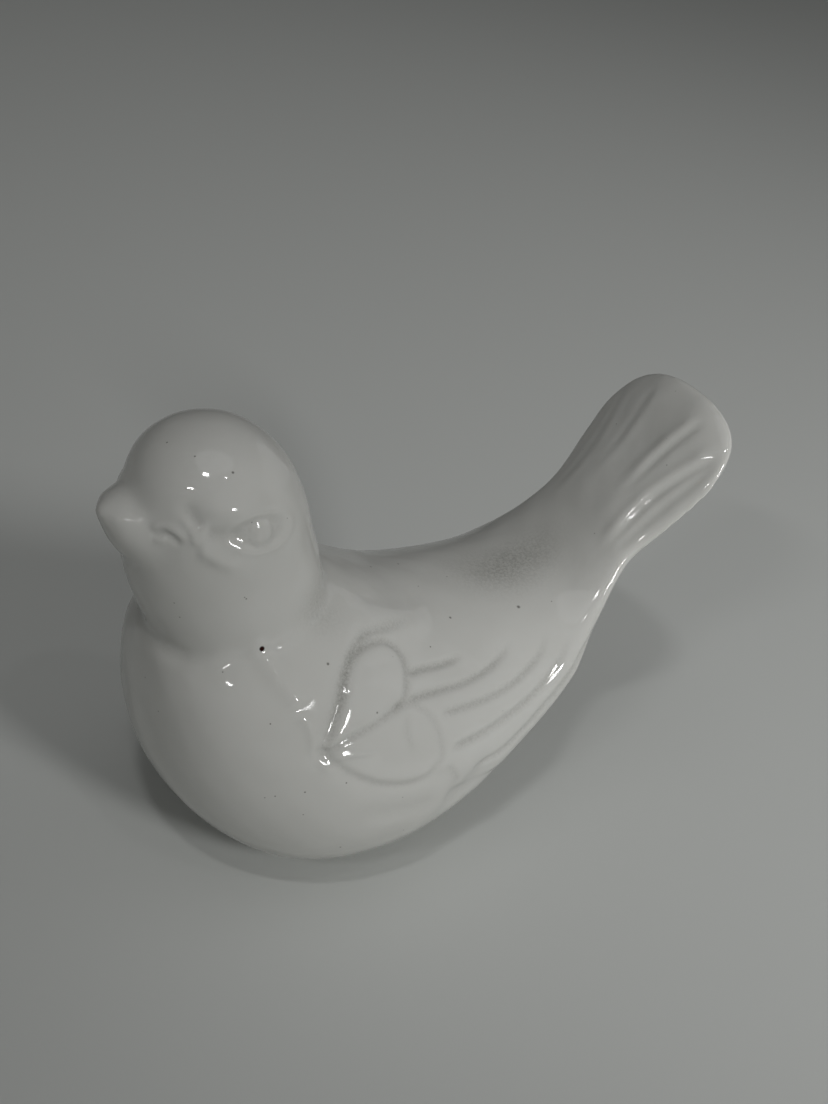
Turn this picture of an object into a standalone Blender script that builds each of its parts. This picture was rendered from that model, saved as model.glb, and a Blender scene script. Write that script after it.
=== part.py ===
# Glazed ceramic bird figurine, one solid: a round body with folded wings, a ball
# head on a thick neck looking slightly up, and a paddle tail raised behind.
# Metres, +Z up. The beak points to -Y, the bird's left side is +X, the flat
# foot lies on z = 0 and the origin is the centre of the foot-level box.
import bpy
import bmesh
import math
import numpy as np
from mathutils import Vector
from mathutils.bvhtree import BVHTree

for old in list(bpy.data.objects):
    bpy.data.objects.remove(old, do_unlink=True)

MM = 0.001
LENGTH = 126.2              # mm, beak tip to tail end
HEIGHT = 90.0               # mm, foot to crown
BODY_WIDTH = 65.6           # mm, across the body at the wings
HEAD_WIDTH = 33.6           # mm, across the cheeks
BEAK_WIDTH = 16.0           # mm, across the beak where it leaves the head
GRAIN = 0.65                # mm, grain of the joined solid before it is thinned
FACETS = 9300               # triangles wanted in the finished solid
UNIT = LENGTH / 100         # mm, one hundredth of the length

# The bird's form and pose are shares of its own sizes. On the side view, u runs
# forward from above the foot in hundredths of LENGTH and z upward in hundredths
# of HEIGHT. Half widths are in hundredths of the form's own width.
# Each section: back or top point (u, z), belly or under point (u, z), half
# width, how much lower the widest line sits, squareness of the oval (2 = oval).
BODY = [
    (-57.5, 85.4, -57.5, 85.4, 0.0, 0.00, 2.0),
    (-56.1, 88.0, -55.1, 78.7, 21.6, 0.12, 2.4),
    (-52.5, 84.7, -49.5, 70.8, 28.2, 0.12, 2.4),
    (-47.1, 76.2, -44.4, 61.9, 26.5, 0.06, 2.4),
    (-40.7, 66.5, -39.0, 52.4, 23.2, 0.00, 2.2),
    (-36.0, 58.9, -33.0, 41.4, 26.8, 0.00, 2.0),
    (-30.1, 53.4, -25.0, 26.4, 34.2, 0.02, 2.0),
    (-22.2, 52.2, -16.2, 12.8, 38.7, 0.04, 2.0),
    (-12.3, 53.1, -7.1, 3.3, 44.5, 0.06, 2.0),
    (-3.6, 55.6, 6.5, -1.2, 50.0, 0.08, 2.0),
    (2.9, 59.6, 19.7, 0.1, 49.7, 0.07, 2.0),
    (9.2, 63.6, 29.5, 11.0, 45.7, 0.06, 2.0),
    (16.5, 65.1, 35.5, 26.2, 38.6, 0.05, 2.0),
    (24.1, 62.9, 36.8, 41.1, 27.7, 0.00, 2.0),
    (31.2, 58.3, 36.0, 50.4, 13.7, 0.00, 2.0),
    (35.3, 54.9, 35.3, 54.9, 0.0, 0.00, 2.0),
]
HEAD = [
    (19.8, 47.8, 19.8, 47.8, 0.0, 0.00, 2.0),
    (10.3, 57.8, 30.1, 45.0, 44.6, 0.00, 2.0),
    (10.0, 67.2, 34.1, 54.7, 50.0, 0.00, 2.0),
    (11.6, 76.1, 37.4, 66.1, 50.0, 0.00, 2.0),
    (13.4, 84.7, 38.7, 77.8, 49.4, 0.00, 2.0),
    (16.5, 92.8, 37.6, 90.3, 41.7, 0.00, 2.0),
    (21.2, 98.2, 33.4, 97.3, 24.4, 0.00, 2.0),
    (27.3, 99.9, 27.3, 99.9, 0.0, 0.00, 2.0),
]
BEAK = [
    (26.9, 82.2, 26.9, 82.2, 0.0, 0.00, 2.0),
    (30.1, 89.9, 34.1, 73.3, 56.2, 0.00, 2.0),
    (34.7, 89.8, 38.2, 73.9, 50.0, 0.00, 2.0),
    (37.5, 88.9, 40.3, 77.0, 39.4, 0.00, 2.0),
    (39.7, 87.6, 41.5, 80.9, 26.9, 0.00, 2.0),
    (41.4, 86.3, 42.2, 83.4, 13.8, 0.00, 2.0),
    (42.5, 85.1, 42.5, 85.1, 0.0, 0.00, 2.0),
]

# Rings where the forms meet and the clay is sponged soft: half width, middle u
# and how far the ring swings from it, middle z and how far it swings from it.
NECK_CREASE = (50.6, 22.0, 12.6, 61.0, -6.6)
BEAK_ROOT = (51.2, 36.8, -1.0, 83.3, 7.8)

# Wing, drawn on the side view from the pinched point at the shoulder. Depths
# and widths of all carving are in hundredths of LENGTH.
WING_EDGE = [
    (18.7, 41.1), (16.6, 46.1), (14.7, 50.4), (11.9, 54.9), (8.1, 56.7), (4.0, 55.6),
    (-2.4, 53.6), (-9.5, 52.0), (-19.0, 51.3), (-27.7, 52.2), (-34.5, 53.8),
    (-34.5, 49.4), (-30.9, 42.2), (-25.4, 34.0), (-19.0, 27.6), (-11.9, 23.6),
    (-5.2, 23.8), (-2.7, 27.3), (-1.0, 31.1), (4.0, 31.1), (8.7, 32.2), (13.1, 35.1),
    (17.0, 38.9),
]
WING_RAISE = 0.45
LOBE_DEPTH = 0.42
FEATHER_DEPTH = 0.38
UPPER_LOBE = [
    (17.4, 42.4), (15.6, 47.1), (14.1, 50.3), (12.8, 53.0), (11.2, 54.9), (9.1, 55.7),
    (6.1, 55.2), (3.5, 53.8), (2.2, 51.8), (2.2, 50.1), (2.9, 48.2), (4.0, 46.4),
    (5.7, 45.6), (8.2, 44.9), (10.7, 44.2), (13.8, 43.6), (17.1, 42.2),
]
LOWER_LOBE = [
    (5.7, 45.6), (3.6, 45.3), (1.9, 44.1), (0.6, 42.1), (-0.4, 39.6), (-0.6, 36.3),
    (-0.2, 33.8), (1.1, 32.2), (3.0, 31.3), (5.8, 31.3), (9.1, 32.4), (12.1, 34.4),
    (14.7, 37.1), (17.1, 40.4),
]
INNER_ARC = [(3.7, 44.1), (4.6, 42.6), (4.8, 40.0), (4.0, 36.4)]
FEATHER_TIP = [(-1.3, 32.4), (-2.7, 29.8), (-4.0, 26.0)]
FEATHERS = [
    [(2.4, 49.1), (0.1, 48.8), (-2.8, 48.1), (-5.7, 47.7), (-8.8, 47.8)],
    [(4.1, 45.8), (1.4, 45.4), (-2.3, 44.9), (-6.2, 44.3), (-9.3, 44.3), (-12.6, 44.9), (-15.8, 46.2),
     (-18.5, 47.9)],
    [(-0.8, 41.6), (-6.2, 40.9), (-10.1, 40.6), (-14.2, 40.9), (-17.3, 41.9), (-20.1, 43.4), (-22.5, 45.6),
     (-24.4, 48.7)],
    [(-1.6, 35.1), (-7.1, 34.8), (-11.2, 35.2), (-15.4, 36.3), (-18.6, 37.7), (-21.7, 39.9), (-24.3, 42.6),
     (-28.1, 47.1)],
    [(-6.3, 27.3), (-14.3, 29.6), (-21.4, 34.7), (-27.7, 41.6), (-31.7, 45.9), (-32.9, 51.6)],
]
PLEATS = [
    [(18.0, 42.2), (17.0, 44.4), (15.8, 46.6), (14.7, 48.4)],
    [(17.8, 41.8), (16.2, 44.3), (14.6, 45.8)],
    [(17.9, 41.0), (15.1, 42.4), (12.3, 43.1), (10.7, 43.2)],
    [(17.7, 40.3), (14.6, 40.6), (11.6, 40.0), (8.7, 38.9)],
]
PINCH = (18.4, 41.3)
PINCH_LIP = [(22.2, 49.6), (20.3, 48.4), (19.5, 46.2), (19.4, 43.8), (19.3, 41.6), (18.1, 39.3), (16.2, 36.9)]
CREASE_BELOW_WING = [(14.3, 26.0), (6.3, 25.1), (-0.8, 24.2)]
SHOULDER_RIDGE = [(25.6, 60.7), (23.9, 58.3), (22.9, 55.8), (21.5, 53.2), (20.3, 50.4)]

# Tail feathers: the stepped edge of each, from side-view u and the distance from
# the middle in hundredths of BODY_WIDTH, how much its start fades away and the
# height of its step. The rim is a soft groove along the tail's own edge.
TAIL_FROM = (-36.5, 58.2)
TAIL_TO = (-55.9, 87.3)
TAIL_STEPS = [
    ([(-36.5, 15.7), (-40.6, 15.1), (-44.4, 15.7), (-47.5, 18.0), (-50.2, 20.6), (-52.8, 22.6)], 0.25, 0.42),
    ([(-41.6, 7.2), (-46.0, 7.5), (-48.3, 8.1), (-50.8, 9.3), (-54.2, 11.6)], 0.5, 0.36),
]
TAIL_RIM = [
    (-37.2, 20.9), (-41.0, 21.6), (-43.6, 22.9), (-46.3, 24.4), (-49.5, 25.9), (-52.0, 26.2),
    (-54.0, 23.8), (-55.3, 18.3), (-55.8, 9.1), (-55.9, 0.0),
]

# Face: the eye in its almond recess, then each line of the face with its
# height, its width, and how much of its start and its end fades away.
EYE = (24.2, 85.1)
EYE_TILT = 0.1
EYE_LENGTH = 4.4
EYE_HEIGHT = 2.4
EYE_DEPTH = 0.5
EYE_BALL = 1.8
PUPIL = (25.3, 84.9)
FACE_LINES = [
    ([(41.7, 85.1), (39.2, 85.3), (37.6, 84.7)], 0.25, 0.95, 0.3, 0.3),
    ([(37.4, 84.3), (36.4, 85.6), (35.5, 85.8), (34.5, 85.2), (33.4, 83.8)], 0.32, 0.55, 0.2, 0.2),
    ([(37.6, 83.7), (36.6, 84.0), (35.9, 84.7), (35.0, 84.0), (34.2, 82.8)], -0.42, 0.50, 0.2, 0.25),
    ([(34.5, 89.6), (33.5, 87.1), (33.0, 85.6), (32.9, 84.0), (33.0, 83.1)], 0.35, 0.70, 0.4, 0.2),
    ([(33.8, 92.2), (33.3, 89.6), (32.5, 86.9)], -0.60, 1.27, 0.5, 0.1),
    ([(32.2, 92.9), (31.1, 91.4), (29.5, 90.3), (26.5, 89.7), (23.5, 89.2)], 0.50, 1.35, 0.3, 0.6),
    ([(32.2, 85.9), (30.3, 85.8), (28.5, 85.3), (26.5, 84.7)], -0.62, 1.19, 0.2, 0.3),
    ([(32.8, 82.7), (31.2, 81.8), (29.6, 80.2), (26.9, 78.1)], 0.52, 1.00, 0.15, 0.6),
]


def rounded(knots, steps):
    """Smooth line through all knots but the first and last; steps per span."""
    q = np.array(knots, float)
    out = []
    for i in range(1, len(q) - 2):
        a, b, c, d = q[i - 1:i + 3]
        count = steps(b, c)
        for t in np.arange(count) / count:
            out.append(0.5 * (2 * b + (c - a) * t + (2 * a - 5 * b + 4 * c - d) * t * t
                              + (3 * b - a - 3 * c + d) * t ** 3))
    out.append(q[-2])
    return np.array(out)


def loft(rows, width, steps=10, around=80):
    """Closed skin through oval sections; the two ends are single points."""
    p = np.array(rows, float) * (UNIT, HEIGHT / 100, UNIT, HEIGHT / 100, width / 100, 1, 1)
    before = p[1][[2, 3, 0, 1, 4, 5, 6]] * (1, 1, 1, 1, -1, 1, 1)
    after = p[-2][[2, 3, 0, 1, 4, 5, 6]] * (1, 1, 1, 1, -1, 1, 1)
    g = rounded(np.vstack([before, p, after]), lambda b, c: steps)
    phi = np.linspace(0, 2 * math.pi, around, endpoint=False)
    verts = [(0.0, -g[0][0], g[0][1])]
    for top_u, top_z, low_u, low_z, half, drop, square in g[1:-1]:
        c = np.sign(np.cos(phi)) * np.abs(np.cos(phi)) ** (2 / square)
        s = np.sign(np.sin(phi)) * np.abs(np.sin(phi)) ** (2 / square)
        u = (top_u + low_u) / 2 + (top_u - low_u) / 2 * c
        z = (top_z + low_z) / 2 + (top_z - low_z) / 2 * c
        x = max(half, 0.05) * s * (1 - drop * c)
        verts += list(zip(x, -u, z))
    verts.append((0.0, -g[-1][0], g[-1][1]))
    rings = len(g) - 2
    faces = [(0, 1 + (j + 1) % around, 1 + j) for j in range(around)]
    for i in range(rings - 1):
        for j in range(around):
            a = 1 + i * around + j
            b = 1 + i * around + (j + 1) % around
            faces.append((a, b, b + around, a + around))
    end = len(verts) - 1
    top = 1 + (rings - 1) * around
    faces += [(end, top + j, top + (j + 1) % around) for j in range(around)]
    return verts, faces


def joined_skin(forms):
    """One closed skin over all the lofted forms."""
    verts, faces = [], []
    for rows, width in forms:
        v, f = loft(rows, width)
        faces += [tuple(i + len(verts) for i in face) for face in f]
        verts += v
    mesh = bpy.data.meshes.new("forms")
    mesh.from_pydata([(x * MM, y * MM, z * MM) for x, y, z in verts], [], faces)
    bm = bmesh.new()
    bm.from_mesh(mesh)
    bmesh.ops.recalc_face_normals(bm, faces=bm.faces)
    bm.to_mesh(mesh)
    bm.free()
    obj = bpy.data.objects.new("forms", mesh)
    bpy.context.scene.collection.objects.link(obj)
    remesh = obj.modifiers.new("join", "REMESH")
    remesh.mode = "VOXEL"
    remesh.voxel_size = GRAIN * MM
    graph = bpy.context.evaluated_depsgraph_get()
    joined = bpy.data.meshes.new_from_object(obj.evaluated_get(graph))
    bpy.data.objects.remove(obj, do_unlink=True)
    return joined


def points_of(mesh):
    co = np.empty(len(mesh.vertices) * 3)
    mesh.vertices.foreach_get("co", co)
    return co.reshape(-1, 3) / MM


def put_points(mesh, pts):
    mesh.vertices.foreach_set("co", (pts * MM).ravel())
    mesh.update()


def normals_of(mesh):
    no = np.empty(len(mesh.vertices) * 3)
    mesh.vertex_normals.foreach_get("vector", no)
    return no.reshape(-1, 3)


def relax(mesh, pts, weight, rounds):
    """Rounds of even smoothing, stronger where weight is nearer one."""
    edges = np.empty(len(mesh.edges) * 2, dtype=np.int64)
    mesh.edges.foreach_get("vertices", edges)
    a, b = edges.reshape(-1, 2).T
    count = np.bincount(np.concatenate([a, b]), minlength=len(pts)).astype(float)
    for _ in range(rounds):
        total = np.zeros_like(pts)
        for k in range(3):
            total[:, k] = (np.bincount(a, pts[b, k], len(pts))
                           + np.bincount(b, pts[a, k], len(pts)))
        pts = pts + (total / count[:, None] - pts) * (0.5 * weight)[:, None]
    return pts


def smooth(low, high, value):
    t = np.clip((value - low) / (high - low), 0, 1)
    return t * t * (3 - 2 * t)


def ring_line(ring, width):
    """Points round a ring where two forms meet."""
    half, u, u_swing, z, z_swing = ring
    turn = np.linspace(0, 2 * math.pi, 60)
    return np.stack([half * width / 100 * np.sin(turn), -(u + u_swing * np.cos(turn)) * UNIT,
                     (z + z_swing * np.cos(turn)) * HEIGHT / 100], axis=1)


def side_curve(knots):
    """Smooth curve through side-view knots, in mm, a point every half unit."""
    p = np.array(knots, float) * (UNIT, HEIGHT / 100)
    p = np.vstack([2 * p[0] - p[1], p, 2 * p[-1] - p[-2]])
    return rounded(p, lambda b, c: max(2, int(np.linalg.norm(c - b) / (0.5 * UNIT))))


def on_flank(tree, knots):
    """A side-view curve laid on the left flank of the skin."""
    out = []
    for u, z in side_curve(knots):
        hit = tree.ray_cast(Vector((BODY_WIDTH, -u, z)), Vector((-1, 0, 0)))[0]
        if hit is not None:
            out.append(hit[:])
    return np.array(out)


def point_on_flank(tree, spot):
    u, z = spot[0] * UNIT, spot[1] * HEIGHT / 100
    return np.array(tree.ray_cast(Vector((BODY_WIDTH, -u, z)), Vector((-1, 0, 0)))[0][:])


def on_tail(tree, knots, below):
    """A line of (u, x) knots laid on the upper or the lower face of the tail."""
    first = Vector((0, -TAIL_FROM[0] * UNIT, TAIL_FROM[1] * HEIGHT / 100))
    last = Vector((0, -TAIL_TO[0] * UNIT, TAIL_TO[1] * HEIGHT / 100))
    slope = (last - first).normalized()
    out_of_face = Vector((0, -slope.z, slope.y)) * (-1 if below else 1)
    p = np.array(knots, float)
    p = np.vstack([2 * p[0] - p[1], p, 2 * p[-1] - p[-2]])
    out = []
    for u, x in rounded(p, lambda b, c: max(2, int(np.linalg.norm(c - b) / 0.4))):
        along = (u - TAIL_FROM[0]) / (TAIL_TO[0] - TAIL_FROM[0])
        start = first.lerp(last, along) + Vector((x * BODY_WIDTH / 100, 0, 0)) + out_of_face * 25 * UNIT
        hit = tree.ray_cast(start, -out_of_face)[0]
        if hit is not None:
            out.append(hit[:])
    return np.array(out)


def near_line(pts, line, reach):
    """Distance of each point to a line, in hundredths of LENGTH, and its share along it."""
    dist = np.full(len(pts), 1e3)
    along = np.zeros(len(pts))
    low, high = line.min(0) - reach * UNIT, line.max(0) + reach * UNIT
    pick = np.where(((pts > low) & (pts < high)).all(1))[0]
    best = np.full(len(pick), 1e6)
    share = np.zeros(len(pick))
    for i in range(len(line) - 1):
        a, ab = line[i], line[i + 1] - line[i]
        t = np.clip(((pts[pick] - a) @ ab) / (ab @ ab + 1e-9), 0, 1)
        d = np.linalg.norm(pts[pick] - (a + t[:, None] * ab), axis=1) / UNIT
        nearer = d < best
        best[nearer] = d[nearer]
        share[nearer] = (i + t[nearer]) / (len(line) - 1)
    dist[pick] = best
    along[pick] = share
    return dist, along


def inside(poly, u, z):
    """True where a side-view point lies in a closed outline."""
    hit = np.zeros(len(u), bool)
    for (u0, z0), (u1, z1) in zip(poly, np.roll(poly, -1, axis=0)):
        crosses = (z0 > z) != (z1 > z)
        hit ^= crosses & (u < (u1 - u0) * (z - z0) / (z1 - z0 + 1e-12) + u0)
    return hit


def bump(dist, width):
    return np.exp(-(dist / width) ** 2)


def fade(along, start, end):
    """One along the middle of a line, dropping to zero at its ends."""
    return smooth(0, start, along) * smooth(0, end, 1 - along)


def relief(pts, nor, tree):
    """Height in mm of the carving over the plain skin, the same left and right."""
    p = pts.copy()
    p[:, 0] = np.abs(p[:, 0])
    u, z = -p[:, 1], p[:, 2]
    h = np.zeros(len(p))

    # Throat: the neck crease is cut in sharper below the beak.
    d, _ = near_line(p, ring_line(NECK_CREASE, HEAD_WIDTH), 7)
    h -= 0.7 * bump(d, 1.2) * smooth(28.5, 34, u / UNIT)

    # Wing: a slightly raised plate whose edge steps down to the body.
    d, _ = near_line(p, on_flank(tree, WING_EDGE + WING_EDGE[:1]), 5)
    within = inside(side_curve(WING_EDGE + WING_EDGE[:1])[:-1], u, z) & (p[:, 0] > 0.1 * BODY_WIDTH)
    inward = np.where(within, np.minimum(d, 5), -d)
    fore = smooth(-36, -28, u / UNIT)
    sideways = smooth(-0.15, 0.15, np.abs(nor[:, 0]))
    blur = 1 + 2.5 * (1 - smooth(-4, 8, u / UNIT)) * smooth(0.44, 0.50, z / HEIGHT)
    h += WING_RAISE * smooth(-0.6, 1.1, inward / blur) * (0.2 + 0.8 * fore) * sideways

    # Grooves between the lobes and the flight feathers.
    for knots in (UPPER_LOBE, LOWER_LOBE):
        d, _ = near_line(p, on_flank(tree, knots), 4)
        h -= LOBE_DEPTH * (bump(d, 0.6) + 0.3 * bump(d, 1.6))
    for knots, deep, start, end in ([(INNER_ARC, 0.6, 0.3, 0.3), (FEATHER_TIP, 0.9, 0.3, 0.2)]
                                    + [(knots, 1.0, 0.1, 0.35) for knots in FEATHERS]):
        d, t = near_line(p, on_flank(tree, knots), 4)
        h -= FEATHER_DEPTH * deep * (bump(d, 0.6) + 0.3 * bump(d, 1.7)) * fade(t, start, end)

    # Pleats radiating from the pinched point, the dimple around it, the ridge
    # that runs down to it from the neck and the crease below the wing.
    for knots in PLEATS:
        d, t = near_line(p, on_flank(tree, knots), 3)
        h += 0.45 * bump(d, 0.5) * fade(t, 0.15, 0.6)
    d = np.linalg.norm(p - point_on_flank(tree, PINCH), axis=1) / UNIT
    h -= 0.7 * bump(d, 1.4)
    d, t = near_line(p, on_flank(tree, PINCH_LIP), 5)
    h += 0.35 * bump(d, 0.8) * fade(t, 0.2, 0.25)
    d, t = near_line(p, on_flank(tree, CREASE_BELOW_WING), 7)
    h -= 0.35 * bump(d, 1.9) * fade(t, 0.4, 0.2)
    d, t = near_line(p, on_flank(tree, SHOULDER_RIDGE), 7)
    h += 0.4 * bump(d, 1.5) * fade(t, 0.15, 0.1)

    # Tail: each feather's edge steps down to the next; softer underneath.
    for below in (False, True):
        for knots, start, height in TAIL_STEPS:
            line = on_tail(tree, knots, below)
            d, t = near_line(p, line, 5)
            d *= np.sign(p[:, 0] - np.interp(t, np.linspace(0, 1, len(line)), line[:, 0]))
            step = 0.8 * bump(d + 1.0, 1.1) - bump(d - 0.4, 0.8)
            h += height * (0.4 if below else 1.0) * step * fade(t, start, 0.15)
        d, t = near_line(p, on_tail(tree, TAIL_RIM, below), 4)
        h -= (0.1 if below else 0.22) * bump(d, 0.8) * fade(t, 0.12, 0.3)

    # Face: the eye in its recess, then brow, cheek, beak root and mouth.
    e = (p - point_on_flank(tree, EYE)) / UNIT
    along = -e[:, 1] * math.cos(EYE_TILT) + e[:, 2] * math.sin(EYE_TILT)
    across = e[:, 1] * math.sin(EYE_TILT) + e[:, 2] * math.cos(EYE_TILT)
    near = (np.abs(e[:, 0]) < 5) & (np.linalg.norm(e, axis=1) < 7)
    r = np.sqrt((along / EYE_LENGTH) ** 2 + (across / EYE_HEIGHT) ** 2)
    ball = np.sqrt(np.clip(1 - (along ** 2 + across ** 2) / EYE_BALL ** 2, 0, 1))
    h += near * (0.18 * bump(r - 1.12, 0.16) + 0.75 * ball - EYE_DEPTH * (1 - smooth(0.6, 1.05, r)))
    h -= 0.3 * bump(np.linalg.norm(p - point_on_flank(tree, PUPIL), axis=1) / UNIT, 0.45)
    for knots, height, width, start, end in FACE_LINES:
        d, t = near_line(p, on_flank(tree, knots), 5)
        h += height * bump(d, width) * fade(t, start, end)
    return h * UNIT


def bird_skin():
    mesh = joined_skin(((BODY, BODY_WIDTH), (HEAD, HEAD_WIDTH), (BEAK, BEAK_WIDTH)))
    pts = points_of(mesh)
    pts = relax(mesh, pts, np.ones(len(pts)), 4)
    neck, _ = near_line(pts, ring_line(NECK_CREASE, HEAD_WIDTH), 7)
    root, _ = near_line(pts, ring_line(BEAK_ROOT, BEAK_WIDTH), 7)
    soft = np.maximum(1 - smooth(1.2, 4.8, neck), 1 - smooth(0.5, 2.1, root))
    pts = relax(mesh, pts, soft, 9)
    put_points(mesh, pts)
    tree = BVHTree.FromPolygons([tuple(v) for v in pts],
                                [tuple(f.vertices) for f in mesh.polygons])
    nor = normals_of(mesh)
    put_points(mesh, pts + nor * relief(pts, nor, tree)[:, None])
    return mesh


def glaze():
    mat = bpy.data.materials.new("white_glaze")
    mat.use_nodes = True
    shader = mat.node_tree.nodes["Principled BSDF"]
    shader.inputs["Base Color"].default_value = (0.72, 0.72, 0.70, 1)
    shader.inputs["Roughness"].default_value = 0.15
    return mat


def build():
    mesh = bird_skin()
    mesh.name = "bird_figurine"
    bird = bpy.data.objects.new("bird_figurine", mesh)
    bpy.context.scene.collection.objects.link(bird)

    thin = bird.modifiers.new("thin", "DECIMATE")
    thin.ratio = FACETS / (2 * len(mesh.polygons))
    thin.use_symmetry = True
    thin.symmetry_axis = "X"
    graph = bpy.context.evaluated_depsgraph_get()
    coarse = bpy.data.meshes.new_from_object(bird.evaluated_get(graph))
    bird.modifiers.clear()
    bird.data = coarse

    # Flat foot: everything below the table level is cut away.
    box = bpy.data.meshes.new("foot_cut")
    bm = bmesh.new()
    bmesh.ops.create_cube(bm, size=LENGTH * MM)
    bmesh.ops.scale(bm, verts=bm.verts, vec=(2, 2, 0.5))
    bmesh.ops.translate(bm, verts=bm.verts, vec=(0, 0, -0.25 * LENGTH * MM))
    bm.to_mesh(box)
    bm.free()
    cutter = bpy.data.objects.new("foot_cut", box)
    cutter.hide_render = True
    cutter.display_type = "WIRE"
    bpy.context.scene.collection.objects.link(cutter)
    cut = bird.modifiers.new("foot", "BOOLEAN")
    cut.operation = "DIFFERENCE"
    cut.solver = "EXACT"
    cut.object = cutter
    graph = bpy.context.evaluated_depsgraph_get()
    solid = bpy.data.meshes.new_from_object(bird.evaluated_get(graph))
    bird.modifiers.clear()
    bpy.data.objects.remove(cutter, do_unlink=True)

    pts = points_of(solid)
    low, high = pts.min(0), pts.max(0)
    pts -= np.array([(low[0] + high[0]) / 2, (low[1] + high[1]) / 2, 0])
    put_points(solid, pts)
    solid.materials.clear()
    solid.materials.append(glaze())
    solid.name = "bird_figurine"
    bird.data = solid


build()
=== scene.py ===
import math

import bmesh
import bpy
import numpy as np
from mathutils import Matrix, Vector
from mathutils.bvhtree import BVHTree


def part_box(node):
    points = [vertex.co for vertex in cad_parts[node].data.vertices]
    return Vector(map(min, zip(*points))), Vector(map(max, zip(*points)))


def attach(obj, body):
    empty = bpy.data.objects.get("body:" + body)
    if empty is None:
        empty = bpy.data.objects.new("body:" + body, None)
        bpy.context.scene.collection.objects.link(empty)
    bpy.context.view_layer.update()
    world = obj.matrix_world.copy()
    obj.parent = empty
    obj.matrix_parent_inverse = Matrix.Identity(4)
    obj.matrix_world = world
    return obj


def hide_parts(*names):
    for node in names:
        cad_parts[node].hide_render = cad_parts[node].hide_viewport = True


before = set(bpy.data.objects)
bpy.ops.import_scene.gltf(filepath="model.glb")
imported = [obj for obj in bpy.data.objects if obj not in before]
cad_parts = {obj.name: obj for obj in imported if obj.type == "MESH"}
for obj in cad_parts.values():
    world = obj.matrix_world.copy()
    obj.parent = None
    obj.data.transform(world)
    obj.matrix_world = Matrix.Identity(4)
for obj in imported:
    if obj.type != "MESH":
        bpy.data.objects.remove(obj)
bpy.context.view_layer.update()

# Cast bird: one hollow slip cast, a round body that runs into a raised paddle
# tail, a ball head on a thick neck and a short cone of a beak. The three forms
# are lofted, run together into one skin and sponged soft where they meet.
MM = 0.001
GRAIN = 0.58                # mm between the points of the finished skin
SECTION_STEPS = 12          # rings between two rows of a table
SECTION_POINTS = 96         # points round each ring
EVEN_ROUNDS = 9             # fettling of the whole raw cast
CREASE_ROUNDS = 30          # sponging of the neck crease and the beak root

# Each row is in millimetres on the side view, u forward and z up: the back
# point (u, z), the belly point (u, z), the half width, how much lower the
# widest line sits, and how square the oval is (2 is a plain oval).
BODY = [
    (-72.5, 76.9, -72.5, 76.9, 0.0, 0.00, 2.0),
    (-70.8, 79.2, -69.5, 70.8, 13.6, 0.10, 2.6),
    (-66.3, 76.2, -62.5, 63.7, 17.7, 0.10, 2.9),
    (-59.4, 68.6, -56.0, 55.7, 16.7, 0.04, 2.9),
    (-51.4, 59.9, -49.2, 47.2, 14.9, 0.00, 2.5),
    (-45.4, 53.0, -41.7, 37.3, 17.6, 0.00, 2.2),
    (-38.0, 48.0, -31.5, 23.8, 22.4, 0.02, 2.2),
    (-28.0, 47.0, -20.5, 11.6, 25.4, 0.04, 2.2),
    (-15.5, 47.8, -9.0, 3.0, 29.2, 0.06, 2.1),
    (-4.6, 50.0, 8.2, -1.1, 32.8, 0.08, 2.0),
    (3.6, 53.6, 24.8, 0.1, 32.6, 0.07, 2.0),
    (11.6, 57.2, 37.2, 9.9, 30.0, 0.06, 2.0),
    (20.8, 58.6, 44.8, 23.6, 25.3, 0.05, 2.0),
    (30.4, 56.6, 46.4, 37.0, 18.2, 0.00, 2.0),
    (39.4, 52.5, 45.4, 45.4, 9.0, 0.00, 2.0),
    (44.6, 49.4, 44.6, 49.4, 0.0, 0.00, 2.0),
]
HEAD = [
    (25.0, 43.0, 25.0, 43.0, 0.0, 0.00, 2.0),
    (13.0, 52.0, 38.0, 40.5, 15.0, 0.00, 2.0),
    (12.6, 60.5, 43.0, 49.2, 16.8, 0.00, 2.0),
    (14.7, 68.5, 47.2, 59.5, 16.8, 0.00, 2.0),
    (16.9, 76.2, 48.8, 70.0, 16.6, 0.00, 2.0),
    (20.8, 83.5, 47.4, 81.3, 14.0, 0.00, 2.0),
    (26.8, 88.4, 42.2, 87.6, 8.2, 0.00, 2.0),
    (34.4, 89.9, 34.4, 89.9, 0.0, 0.00, 2.0),
]
BEAK = [
    (34.0, 74.0, 34.0, 74.0, 0.0, 0.00, 2.0),
    (38.0, 80.6, 43.0, 66.0, 11.6, 0.00, 2.0),
    (43.8, 80.4, 48.2, 66.5, 9.6, 0.00, 2.0),
    (47.3, 79.7, 50.8, 69.3, 7.0, 0.00, 2.0),
    (50.1, 78.7, 52.4, 72.8, 4.5, 0.00, 2.0),
    (52.3, 77.7, 53.3, 75.1, 2.2, 0.00, 2.0),
    (53.6, 76.6, 53.6, 76.6, 0.0, 0.00, 2.0),
]
# Where the forms meet: half width, middle u and how far the ring swings from
# it, middle z and how far it swings from it.
NECK_RING = (17.0, 27.7, 15.9, 54.9, -5.9)
BEAK_RING = (8.2, 46.4, -1.2, 75.0, 7.0)
RING_REACH = 9.0
FULLY_SOFT = 1.5            # mm from a ring that is sponged fully
NECK_SOFT = 6.0             # mm from the neck ring where the sponging ends
THROAT_SOFT = 5.0           # how much further it goes under the beak
BEAK_SOFT = 5.5             # mm from the beak ring where it ends
THROAT_CUT = 0.5            # depth of the crease under the beak
THROAT_CUT_WIDTH = 1.8


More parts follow.
